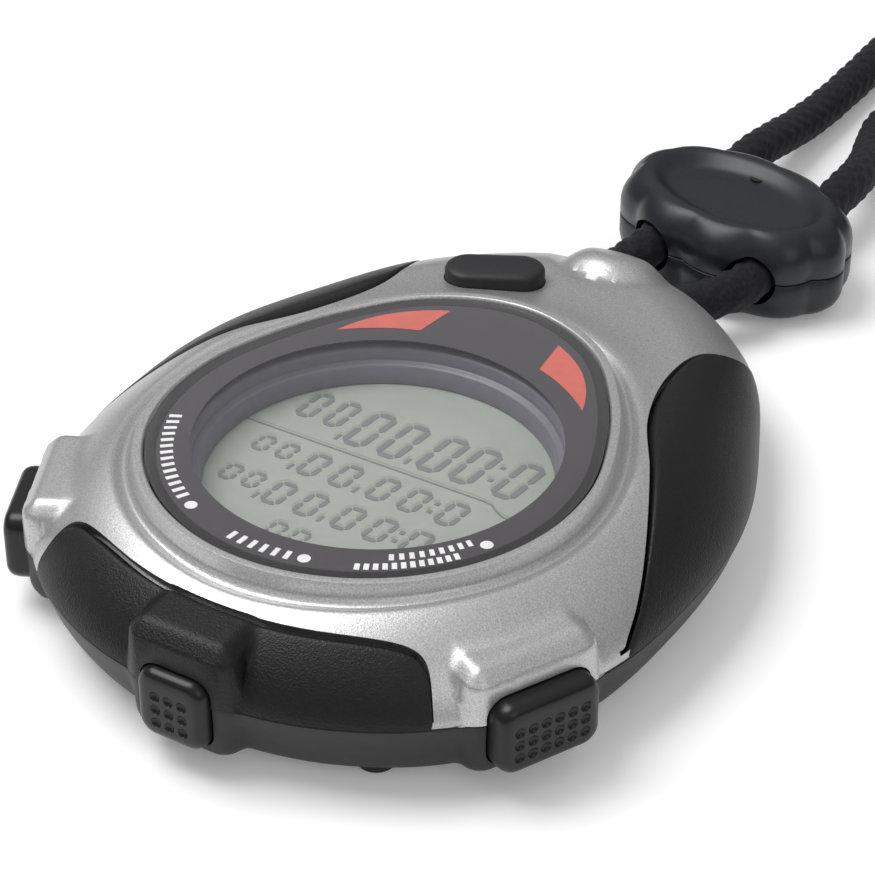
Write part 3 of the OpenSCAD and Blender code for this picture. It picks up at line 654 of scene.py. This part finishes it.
def front_shell():
    """Silver front: shoulder, crest, groove and lip outside, ledge and cavity inside."""
    a = ANGLES
    out, lens = outline_r(a), lens_r(a)
    rings = []
    edge = skin_ring(a, out - 0.02)[:, 2]
    rings.append(polar(a, out - 0.14, SEAM_Z + 0.02))
    for f in (0.0, 0.12, 0.35, 0.6, 0.8, 0.95):
        z = SEAM_Z + 0.14 + (edge - SEAM_Z - 0.14) * f
        rings.append(polar(a, out, np.maximum(z, SEAM_Z + 0.14)))
    for d in (0.03, 0.08, 0.16, 0.28, 0.44, 0.65, 0.9, 1.2, 1.55, 1.95, 2.4, 2.9):
        rings.append(skin_ring(a, out - d))
    for f in np.linspace(0, 1, 20)[1:]:
        rings.append(skin_ring(a, (out - 2.9) * (1 - f) + (lens + 3.0) * f))
    for e in (2.7, 2.45, 2.25, 2.1, 1.95, 1.8, 1.65, 1.5, 1.38, 1.28, 1.18, 1.08, 0.98, 0.85,
              0.7, 0.5, 0.35, 0.25, 0.17, 0.1, 0.04):
        rings.append(skin_ring(a, lens + e))
    rings.append(polar(a, lens + 0.03, 15.6))
    rings.append(polar(a, lens + 0.03, LEDGE_Z))
    rings.append(window_ring(a, 19.5, LEDGE_Z))
    rings.append(window_ring(a, 19.5, CAVITY_TOP))
    rings.append(cavity_ring(a, 2.5, CAVITY_TOP))
    rings.append(cavity_ring(a, 1.2, 9.8))
    rings.append(cavity_ring(a, 0, 8.2))
    rings.append(cavity_ring(a, 0, SEAM_Z + 0.02))
    return rings_object("shell_front", rings, wrap=True)


def cover_rings():
    a = ANGLES
    levels = [(0.14, 0.0, 0.0), (0.0, 0.14, 0.0), (0.12, 0.7, 0.0), (0.4, 1.4, 0.0),
              (0.7, 2.3, 0.0), (1.0, 3.2, 0.0), (1.35, 4.0, 0.05), (1.7, 4.7, 0.2),
              (2.15, 5.45, 0.5), (2.6, 6.1, 1.2), (3.2, 6.65, 2.4), (3.9, 7.1, 4.2),
              (4.6, 7.38, 6.0), (5.1, 7.5, 7.0), (5.6, 7.58, 8.0)]
    rings = []
    for case_in, down, block_in in levels:
        rings.append(polar(a, outline_r(a, case_in, block_in + 0.02), SEAM_Z - 0.02 - down))
    return rings


def rear_cover():
    """Dark rear cover: a cup whose wall tapers in and rounds under."""
    a = ANGLES
    rings = cover_rings()
    for r in rings:
        r[:, 2] = np.maximum(r[:, 2], 0)
    inner = [cavity_ring(a, inset, z) for inset, z in
             ((7.5, 2.0), (5.2, 3.2), (3.2, 4.6), (1.2, 6.0), (0.2, 7.0), (0, SEAM_Z - 0.02))]
    return rings_object("cover_rear", [*inner, *rings], start="fan", end="fan")


def cap_pocket(name, grow=0.17):
    w = CAP_WIDTH[name] + 2 * grow
    stations = [(30.6, 0.0), (35.0, 0.0), (60, 0.0)]
    return bar_object("pocket", name, w, CAP_H + 2 * grow, 1.9, stations, CAP_Z)


def pill_ring(l, w, z, steps=20):
    """Ring of the mode button's plan, l long and w wide."""
    half = (l - w) / 2
    out = []
    for side in (1, -1):
        for i in range(steps + 1):
            b = math.radians(-90 + 180 * i / steps) + (0 if side > 0 else math.pi)
            out.append((side * half + w / 2 * math.cos(b), w / 2 * math.sin(b)))
    turn = math.radians(MODE_TURN)
    p = np.array(out)
    x = MODE_AT[0] + p[:, 0] * math.cos(turn) - p[:, 1] * math.sin(turn)
    y = MODE_AT[1] + p[:, 0] * math.sin(turn) + p[:, 1] * math.cos(turn)
    return np.column_stack([x, y, np.full(len(p), z)])


def front_grip_plan(gap=0.0, rows=240, cols=26):
    """Plan grid of the button-end grip: along its length, then in to its edge."""
    half = 38.0 + gap * 1.6
    u = np.sin(np.linspace(-1, 1, rows) * math.pi / 2)
    band = (4.9 + gap) * np.maximum(1 - np.abs(u) ** 5, 0) ** 0.2
    a = u * half
    out = outline_r(a)
    v = np.linspace(0, 1, cols) ** 1.3
    inner = case_r(a) - band
    r = out[:, None] * (1 - v) + inner[:, None] * v
    return polar(np.repeat(a[:, None], cols, 1), r)[..., :2]


def side_grip_plan(side, gap=0.0, rows=110, cols=30):
    """Plan grid of a side grip: along its inner edge, from the outline in to that edge."""
    edge = np.array(GRIP_EDGE, float)
    edge = np.vstack([2 * edge[0] - edge[1], edge, 2 * edge[-1] - edge[-2]])
    t = np.linspace(0, len(GRIP_EDGE) - 1, rows)
    i = np.minimum(np.floor(t).astype(int), len(GRIP_EDGE) - 2)
    line = catmull(edge[i], edge[i + 1], edge[i + 2], edge[i + 3], (t - i)[:, None])
    a = np.degrees(np.arctan2(line[:, 0], line[:, 1]))
    r_edge = np.hypot(line[:, 0], line[:, 1])
    start, end = 70.5, 152.5
    f = np.linspace(0, 1, rows)
    a = start + (a - a[0]) * (end - start) / (a[-1] - a[0])
    out = outline_r(a)
    taper = np.minimum(smooth(f / 0.05), smooth((1 - f) / 0.09)) ** 0.5
    r_in = out - (out - np.minimum(r_edge, out)) * taper - gap
    v = np.linspace(0, 1, cols) ** 1.2
    p = polar(np.repeat(a[:, None], cols, 1), out[:, None] * (1 - v) + r_in[:, None] * v)
    return p[..., :2] * [side, 1]


def edge_distance(plan):
    """Distance of each grid point from the grip's inner edge and ends."""
    line = plan[:, -1]
    flat = plan.reshape(-1, 2)
    gaps = np.min(np.linalg.norm(flat[:, None] - line[None], axis=2), axis=1)
    return gaps.reshape(plan.shape[:2])


def grip(name, plan):
    """Rubber skin, a little proud, whose edge rolls down into its groove."""
    x, y = plan[..., 0], plan[..., 1]
    z = skin_z(x, y)
    near = np.clip(edge_distance(plan) / 0.5, 0, 1)
    lift = 0.24 * np.sqrt(1 - (1 - near) ** 2) - 0.12
    a = np.arctan2(x, y)
    slope = np.clip((case_r(np.degrees(a)) - np.hypot(x, y)) / 5, 0.12, 1)
    out = lift * (1 - slope) * 0.8
    top = np.stack([x + out * np.sin(a), y + out * np.cos(a), z + lift * slope], -1)
    top[:, 0, 2] = SEAM_Z + 0.1
    under = np.stack([x * 0.965, y * 0.965, np.maximum(z - 1.3, SEAM_Z + 0.1)], -1)
    return patch_object(name, top, under, sharp=50)


def grip_cutter(plan):
    """Solid that clears a grip's groove in the front shell."""
    x, y = plan[..., 0], plan[..., 1]
    z = skin_z(x, y)
    top = np.stack([x * 1.04, y * 1.04, z + 3], -1)
    low = np.stack([x * 0.955, y * 0.955, np.maximum(z - 1.5, SEAM_Z - 1)], -1)
    top[:, 0] = np.stack([x[:, 0] * 1.05, y[:, 0] * 1.05, z[:, 0] + 3], -1)
    return patch_object("grip_cutter", top, low)


def chamber_cutter():
    """Solid of the open chamber that the cord leaves through."""
    half = 8.0
    ring = []
    for i in range(25):
        b = math.radians(180 * i / 24)
        ring.append((half * math.cos(b), -45.8 + half * math.sin(b)))
    ring += [(-half, -60), (half, -60)]
    ring = np.array(ring)
    rings = [np.column_stack([ring, np.full(len(ring), z)]) for z in (2.2, 12)]
    return rings_object("chamber", rings)


def battery_cutter():
    a = np.arange(96) * 360 / 96
    ring = polar(a, 12.6)[:, :2] + [0, BATTERY_Y]
    rings = [np.column_stack([ring, np.full(96, z)]) for z in (-1, 1.5)]
    return rings_object("battery_hole", rings)


def make_case():
    shell = front_shell()
    grooves = [front_grip_plan(GRIP_GAP), side_grip_plan(1, GRIP_GAP),
               side_grip_plan(-1, GRIP_GAP)]
    plans = {"button_end": front_grip_plan(), "right": side_grip_plan(1),
             "left": side_grip_plan(-1)}
    cutters = [grip_cutter(plan) for plan in grooves]
    cutters += [cap_pocket(name) for name in BLOCKS]
    hole = [pill_ring(MODE_SIZE[0] + 0.2, MODE_SIZE[1] + 0.2, z) for z in (9, 20)]
    cutters.append(rings_object("mode_hole", hole))
    boolean(shell, cutters)
    finish_piece(shell, SILVER, "case", "shell_silver", "front_shell")
    for name, plan in plans.items():
        obj = grip("skin_" + name, plan)
        if name == "button_end":
            boolean(obj, [cap_pocket("recall")], sharp=50)
        finish_piece(obj, GRIP, "case", "grip_black", "grip_" + name)
    cover = rear_cover()
    cutters = [cap_pocket(name) for name in BLOCKS] + [chamber_cutter(), battery_cutter()]
    cutters.append(cylinder("inner", 0, BATTERY_Y, 11, 1, 5))
    cutters += [cylinder("screw", x, y, 1.95, -1, 1.5, 32) for x, y in SCREWS]
    boolean(cover, cutters)
    finish_piece(cover, COVER, "case", "cover_grey", "rear_cover")


make_case()


# ---- lens, dial print and display -------------------------------------------

def make_lens():
    a = ANGLES[::2]
    r = lens_r(a)
    rings = [polar(a, np.maximum(r - 6, 0), 15.9), polar(a, r - 0.12, 15.9)]
    for inset, drop in ((0.1, 1.1), (0.1, 0.8), (0.2, 0.66), (0.6, 0.36), (1.0, 0.1),
                        (1.12, 0.05), (1.35, 0.01), (6, 0.0)):
        rings.append(polar(a, r - inset, LENS_TOP - drop))
    obj = rings_object("lens_clear", rings, start="fan", end="fan", sharp=60)
    finish_piece(obj, LENS, "case", "lens_clear", "lens")


def flat_piece(name, outline, z, thick, mat, slot, hole=None, nodes=()):
    """Thin flat piece of an outline, with an optional hole of as many points."""
    outline = np.asarray(outline, float)
    if hole is None:
        rings = [np.column_stack([outline, np.full(len(outline), h)]) for h in (z, z + thick)]
        obj = rings_object(name, rings)
    else:
        hole = np.asarray(hole, float)
        rings = [np.column_stack([p, np.full(len(p), h)]) for p, h in
                 ((outline, z), (outline, z + thick), (hole, z + thick), (hole, z))]
        obj = rings_object(name, rings, wrap=True)
    return finish_piece(obj, mat, "case", slot, *nodes)


def flat_pieces(name, outlines, z, thick, mat, slot):
    """Many thin flat shapes of one height in a single piece."""
    verts, faces = [], []
    for outline in outlines:
        n, base = len(outline), len(verts)
        verts += [(x, y, h) for h in (z, z + thick) for x, y in outline]
        faces += [[base + i for i in range(n)], [base + n + i for i in range(n)]]
        faces += [(base + i, base + (i + 1) % n, base + n + (i + 1) % n, base + n + i)
                  for i in range(n)]
    return finish_piece(new_object(name, to_frame(verts), faces), mat, "case", slot)


def make_print():
    a = ANGLES[::2]
    hole = window_ring(a, THROAT_R, 0)[:, :2]
    flat_piece("dial_ring", polar(a, lens_r(a) - 0.12)[:, :2], PRINT_Z, PRINT_T, PRINT,
               "dial_print", hole, ["dial_mask"])
    top = PRINT_Z + PRINT_T + 0.01
    # near-black band laid on the print under the lens's bevelled rim: painted shade where the
    # bevel looks dark
    flat_piece("painted_lens_edge_shade", polar(a, lens_r(a) - 0.12)[:, :2], top, 0.02, LENS_EDGE_SHADE, "dial_print",
               polar(a, lens_r(a) - 1.15)[:, :2])
    # two curved wedges beside the maker's field, which is left plain
    wedges, marks = [], []
    for side in (-1, 1):
        outer = [(side * x, y) for x, y in arc_points((13.9, -11.5), (6.2, -20.5), -1.3)]
        inner = [(side * x, y) for x, y in arc_points((6.0, -16.0), (13.9, -11.5), 0.53)]
        wedges.append(outer + inner[1:-1])
    # one dot and rows of plain bars for each side button; a row is its first angle, pitch,
    # number of bars, distance out from the ring's middle and half height
    for at in (22.5, -12.2, -55.9):
        dot = polar(np.arange(20) * 18, 0.6)[:, :2] + polar(np.array([at]), ring_mid(at))[0, :2]
        marks.append(dot)
    for first, pitch, count, shift, tall in ((27, 2.75, 14, 0, 0.6), (-8.2, 3, 6, 0, 0.6),
                                             (-52.2, 2.5, 9, -0.95, 0.45),
                                             (-47.6, 2.1, 12, 0.35, 0.45)):
        marks += [bar_points(first + i * pitch, shift, tall) for i in range(count)]
    flat_pieces("wedges", wedges, top, 0.03, RED, "dial_print")
    flat_pieces("marks", marks, top, 0.03, WHITE, "dial_print")


def ring_mid(angle):
    """Middle of the printed ring at an angle."""
    a = np.array([float(angle)])
    inner = np.linalg.norm(window_ring(a, THROAT_R, 0)[0, :2])
    return float((lens_r(a)[0] + inner) / 2)


def bar_points(angle, shift, tall):
    """Outline of one bar of the print."""
    mid = ring_mid(angle) + shift
    return [polar(np.array([angle + turn]), mid + r)[0, :2]
            for r, turn in ((tall, -0.62), (tall, 0.62), (-tall, 0.62), (-tall, -0.62))]


def arc_points(p, q, bulge, steps=12):
    """Points from p to q along a curve that bulges to the left by a distance."""
    p, q = np.array(p, float), np.array(q, float)
    way = q - p
    left = np.array([-way[1], way[0]]) / np.linalg.norm(way)
    t = np.linspace(0, 1, steps)[:, None]
    return [tuple(v) for v in p + way * t - left * bulge * 4 * t * (1 - t)]


def make_bezel():
    """Sloping wall around the display."""
    a = np.arange(160) * 360 / 160
    profile = [(19.2, 11.3), (19.2, 14.8), (18.0, 14.8), (17.75, 14.7), (17.55, 14.4),
               (17.5, 13.5), (17.3, 13.35), (16.95, 13.3), (16.8, 13.15), (16.6, 11.45),
               (16.6, 11.3)]
    rings = [window_ring(a, r, z) for r, z in profile]
    obj = rings_object("bezel_wall", rings, wrap=True)
    finish_piece(obj, BEZEL, "case", "bezel_grey", "display_bezel")


def make_display():
    """Display panel with three rows of large and small noughts, and two more above."""
    cut = [(x * sx, y * sy + WINDOW_Y) for sx, sy, pts in
           ((1, 1, ((19, 14), (15, 18))), (-1, 1, ((15, 18), (19, 14))),
            (-1, -1, ((19, 14), (15, 18))), (1, -1, ((15, 18), (19, 14)))) for x, y in pts]
    flat_piece("display_panel", cut, 9.9, LCD_Z - 9.9, LCD, "lcd", nodes=["lcd_glass"])
    line = [(17.5, 0.45), (-10.2, 0.45), (-11.2, 0.6), (-12.1, 1.25), (-13.0, 1.75), (-16.5, 1.8)]
    dark = [strip(line, 0.2)]
    rows = [  # height, slant, bottom, places of the large digits, small height, small places
        (6.4, 0.09, -7.2, (-11.4, -6.7, -3.05, 1.35, 5.2), 4.7, (8.95, 12.1), 2.7, 2.1),
        (3.9, 0.09, 1.85, (-8.9, -4.8, -1.3, 2.85, 6.4), 2.7, (9.9, 12.6), 2.2, 1.8),
        (3.9, 0.09, 7.45, (-8.5, -4.6, -1.1, 3.05, 6.6), 2.7, (9.9, 12.5), 2.2, 1.8),
    ]
    for k, (tall, slant, low, large, short, small, wide, narrow) in enumerate(rows):
        stroke = 0.68 if k == 0 else 0.52
        for x in large:
            dark += digit(x, low, wide, tall, stroke, slant)
        for x in small:
            dark += digit(x, low, narrow, short, stroke * 0.85, slant)
        between = (large[0] + large[1]) / 2
        for v in (0.32, 0.68):
            y = low + tall * v
            dark.append([(between + i * 0.25, y + j * 0.25)
                         for i, j in ((-1, -1), (1, -1), (1, 1), (-1, 1))])
        for x in ((large[2] + large[3]) / 2, (large[4] + small[0]) / 2):
            top = low + tall
            dark.append([(x - 0.12, top - 1.1), (x + 0.16, top - 1.1),
                         (x + 0.36, top - 0.1), (x, top - 0.1)])
    for x in (1.1, 3.6):
        dark += digit(x, 13.1, 1.7, 2.7, 0.36, 0.09)
    flat_pieces("segments", dark, LCD_Z + 0.02, 0.02, SEGMENT, "lcd")
    pale = [[(x + 0.32, y - 0.42) for x, y in outline] for outline in dark]
    flat_pieces("segment_shades", pale, LCD_Z, 0.015, SHADOW, "lcd")


def digit(x, low, wide, tall, stroke, slant):
    """Outlines of a seven-segment nought: six segments with pointed ends."""
    h = stroke / 2
    left, right = x - wide / 2 + h, x + wide / 2 - h
    mid = low + tall / 2
    gap = 0.07
    out = []
    for y in (low + h, low + tall - h):
        out.append([(left + gap, y), (left + gap + h, y - h), (right - gap - h, y - h),
                    (right - gap, y), (right - gap - h, y + h), (left + gap + h, y + h)])
    for px in (left, right):
        for y0, y1 in ((low + h, mid), (mid, low + tall - h)):
            out.append([(px, y0 + gap), (px + h, y0 + gap + h), (px + h, y1 - gap - h),
                        (px, y1 - gap), (px - h, y1 - gap - h), (px - h, y0 + gap + h)])
    return [[(px + (py - mid) * slant, py) for px, py in shape] for shape in out]


def strip(line, width):
    """Outline of a line with a width."""
    line = np.array(line, float)
    way = np.gradient(line, axis=0)
    side = np.stack([-way[:, 1], way[:, 0]], -1)
    side /= np.linalg.norm(side, axis=1)[:, None]
    return np.vstack([line + side * width / 2, (line - side * width / 2)[::-1]])


make_lens()
make_print()
make_bezel()
make_display()


# ---- buttons ----------------------------------------------------------------

def make_cap(name):
    """Side button: rounded face with rows of small dimples."""
    w = CAP_WIDTH[name]
    face = CAP_FACE
    stations = [(face - CAP_L, 0.0), (face - 1.3, 0.0), (face - 0.8, 0.06), (face - 0.4, 0.22),
                (face - 0.14, 0.5), (face - 0.03, 0.85), (face, 1.3)]
    cap = bar_object("cap_face_" + name, name, w, CAP_H, 1.7, stations, CAP_Z)
    columns, rows, pitch = (3, 3, 1.42) if name == "recall" else (6, 3, 1.36)
    dimples = []
    for i in range(columns):
        for j in range(rows):
            x = (i - (columns - 1) / 2) * pitch
            z = CAP_Z - 0.3 + (j - 1) * pitch
            dimples.append(ball(button_frame(name, np.array([x, face + 0.3, z])), 0.62))
    boolean(cap, dimples)
    finish_piece(cap, BUTTON, name + "_button", "button_black", "cap_" + name)


def ball(centre, r):
    """Cutter for one dimple."""
    rings = []
    for i in range(1, 10):
        b = math.radians(-90 + 18 * i)
        ring = polar(np.arange(20) * 18, r * math.cos(b), 0)
        rings.append(ring + centre + [0, 0, r * math.sin(b)])
    return rings_object("ball", rings, start="fan", end="fan")


def make_mode():
    """Mode button: a pill with a softly domed top."""
    stations = [(0.5, 10.4), (0.5, 11.2), (0, 11.25), (0, 14.6), (-0.1, 14.85), (-0.3, 15.03),
                (-0.7, 15.15), (-1.3, 15.22), (-2.2, 15.28)]
    rings = [pill_ring(MODE_SIZE[0] + 2 * grow, MODE_SIZE[1] + 2 * grow, z)
             for grow, z in stations]
    obj = rings_object("mode_cap", rings, end="fan")
    finish_piece(obj, MODE, "mode_key", "button_black", "mode_button")


def make_spring(node):
    """Copy of a return spring's CAD mesh, smooth shaded and in steel."""
    piece = bpy.data.objects.new("coil_" + node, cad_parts[node].data.copy())
    bpy.context.scene.collection.objects.link(piece)
    shade(piece, 60)
    finish_piece(piece, STEEL, "case", "steel", node)
    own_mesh(piece)


for button, block in BLOCKS.items():
    make_cap(button)
    make_spring("spring_" + button)
make_mode()
make_spring("mode_spring")


# ---- slider -----------------------------------------------------------------

SLIDER_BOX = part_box("slider_upper")
SLIDER_AT = np.array([(SLIDER_BOX[0][k] + SLIDER_BOX[1][k]) / 2 / MM for k in (0, 1)]
                     ) - [0, DIAL_Y]
SLIDER_TURN = math.radians(-13)


def oval_ring(inset, z, scallop=1.0):
    """Ring of the slider's scalloped oval."""
    b = np.arange(144) * 2 * math.pi / 144
    wave = 0.8 * scallop * (np.abs(np.cos(5 * b)) - 0.79)
    x = (14.5 - inset + wave) * np.cos(b)
    y = (10.0 - inset + wave) * np.sin(b)
    c, s = math.cos(SLIDER_TURN), math.sin(SLIDER_TURN)
    return np.column_stack([SLIDER_AT[0] + x * c - y * s, SLIDER_AT[1] + x * s + y * c,
                            np.full(len(b), z)])


def bore(x):
    """Cutter for the hole of one cord."""
    rings = []
    for y in (SLIDER_AT[1] - 20, SLIDER_AT[1] + 20):
        b = np.arange(40) * 2 * math.pi / 40
        rings.append(np.column_stack([x + 2.9 * np.cos(b), np.full(40, y),
                                      5.4 + 2.9 * np.sin(b)]))
    return rings_object("bore", rings)


def make_slider():
    top = [oval_ring(0.12, 5.5), oval_ring(0, 5.62), oval_ring(0, 7.2), oval_ring(0.15, 8.0, .9),
           oval_ring(0.5, 8.8, .9), oval_ring(1.0, 9.5, .8), oval_ring(1.6, 10.15, .6),
           oval_ring(2.2, 10.6, .4), oval_ring(2.8, 10.8, .2), oval_ring(3.3, 10.75, .1),
           oval_ring(3.9, 10.4, 0), oval_ring(4.5, 9.9, 0), oval_ring(5.1, 9.5, 0),
           oval_ring(5.8, 9.3, 0), oval_ring(6.7, 9.3, 0), oval_ring(7.9, 9.3, 0)]
    upper = rings_object("slider_top", top, end="fan", sharp=60)
    low = [oval_ring(2.4, 0.25, .3), oval_ring(1.3, 0.6, .6), oval_ring(0.6, 1.3, .8),
           oval_ring(0.15, 2.2, .9), oval_ring(0, 3.0), oval_ring(0, 5.28), oval_ring(0.12, 5.4)]
    lower = rings_object("slider_base", low, sharp=60)
    for obj, node in ((upper, "slider_upper"), (lower, "slider_lower")):
        boolean(obj, [bore(3.7), bore(-9.3)], sharp=60)
        finish_piece(obj, SLIDER, "cord_slider", "slider_rubber", node)
    return upper, lower


slider_top, slider_base = make_slider()


# ---- everything that keeps its CAD shape ------------------------------------

CAD_LOOKS = {
    RUBBER: ["case_seal", "lens_gasket", "battery_cap_seal", "stem_seals"],
    BLACK_STEEL: ["case_screws"],
    STEEL: ["board_screws", "buzzer_springs", "quartz_crystal", "coin_cell",
            "lanyard_post"] + [p + n for p in ("stem_", "clip_") for n in BLOCKS],
    BRASS: ["piezo_buzzer", "contact_plus", "contact_minus"],
    WHITE_PLASTIC: ["lcd_reflector", "module_frame"],
    ELASTOMER: ["zebra_strips"],
    BOARD: ["circuit_board"],
    EPOXY: ["chip_blob", "side_switches", "slider_pins"],
    CERAMIC: ["board_components"],
    COVER: ["battery_cap"],
    CORD: ["cord_bight"],
    STRAP: ["cord_tie"],
}
for look, names in CAD_LOOKS.items():
    for name in names:
        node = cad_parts[name]
        node.data.materials.clear()
        node.data.materials.append(look)
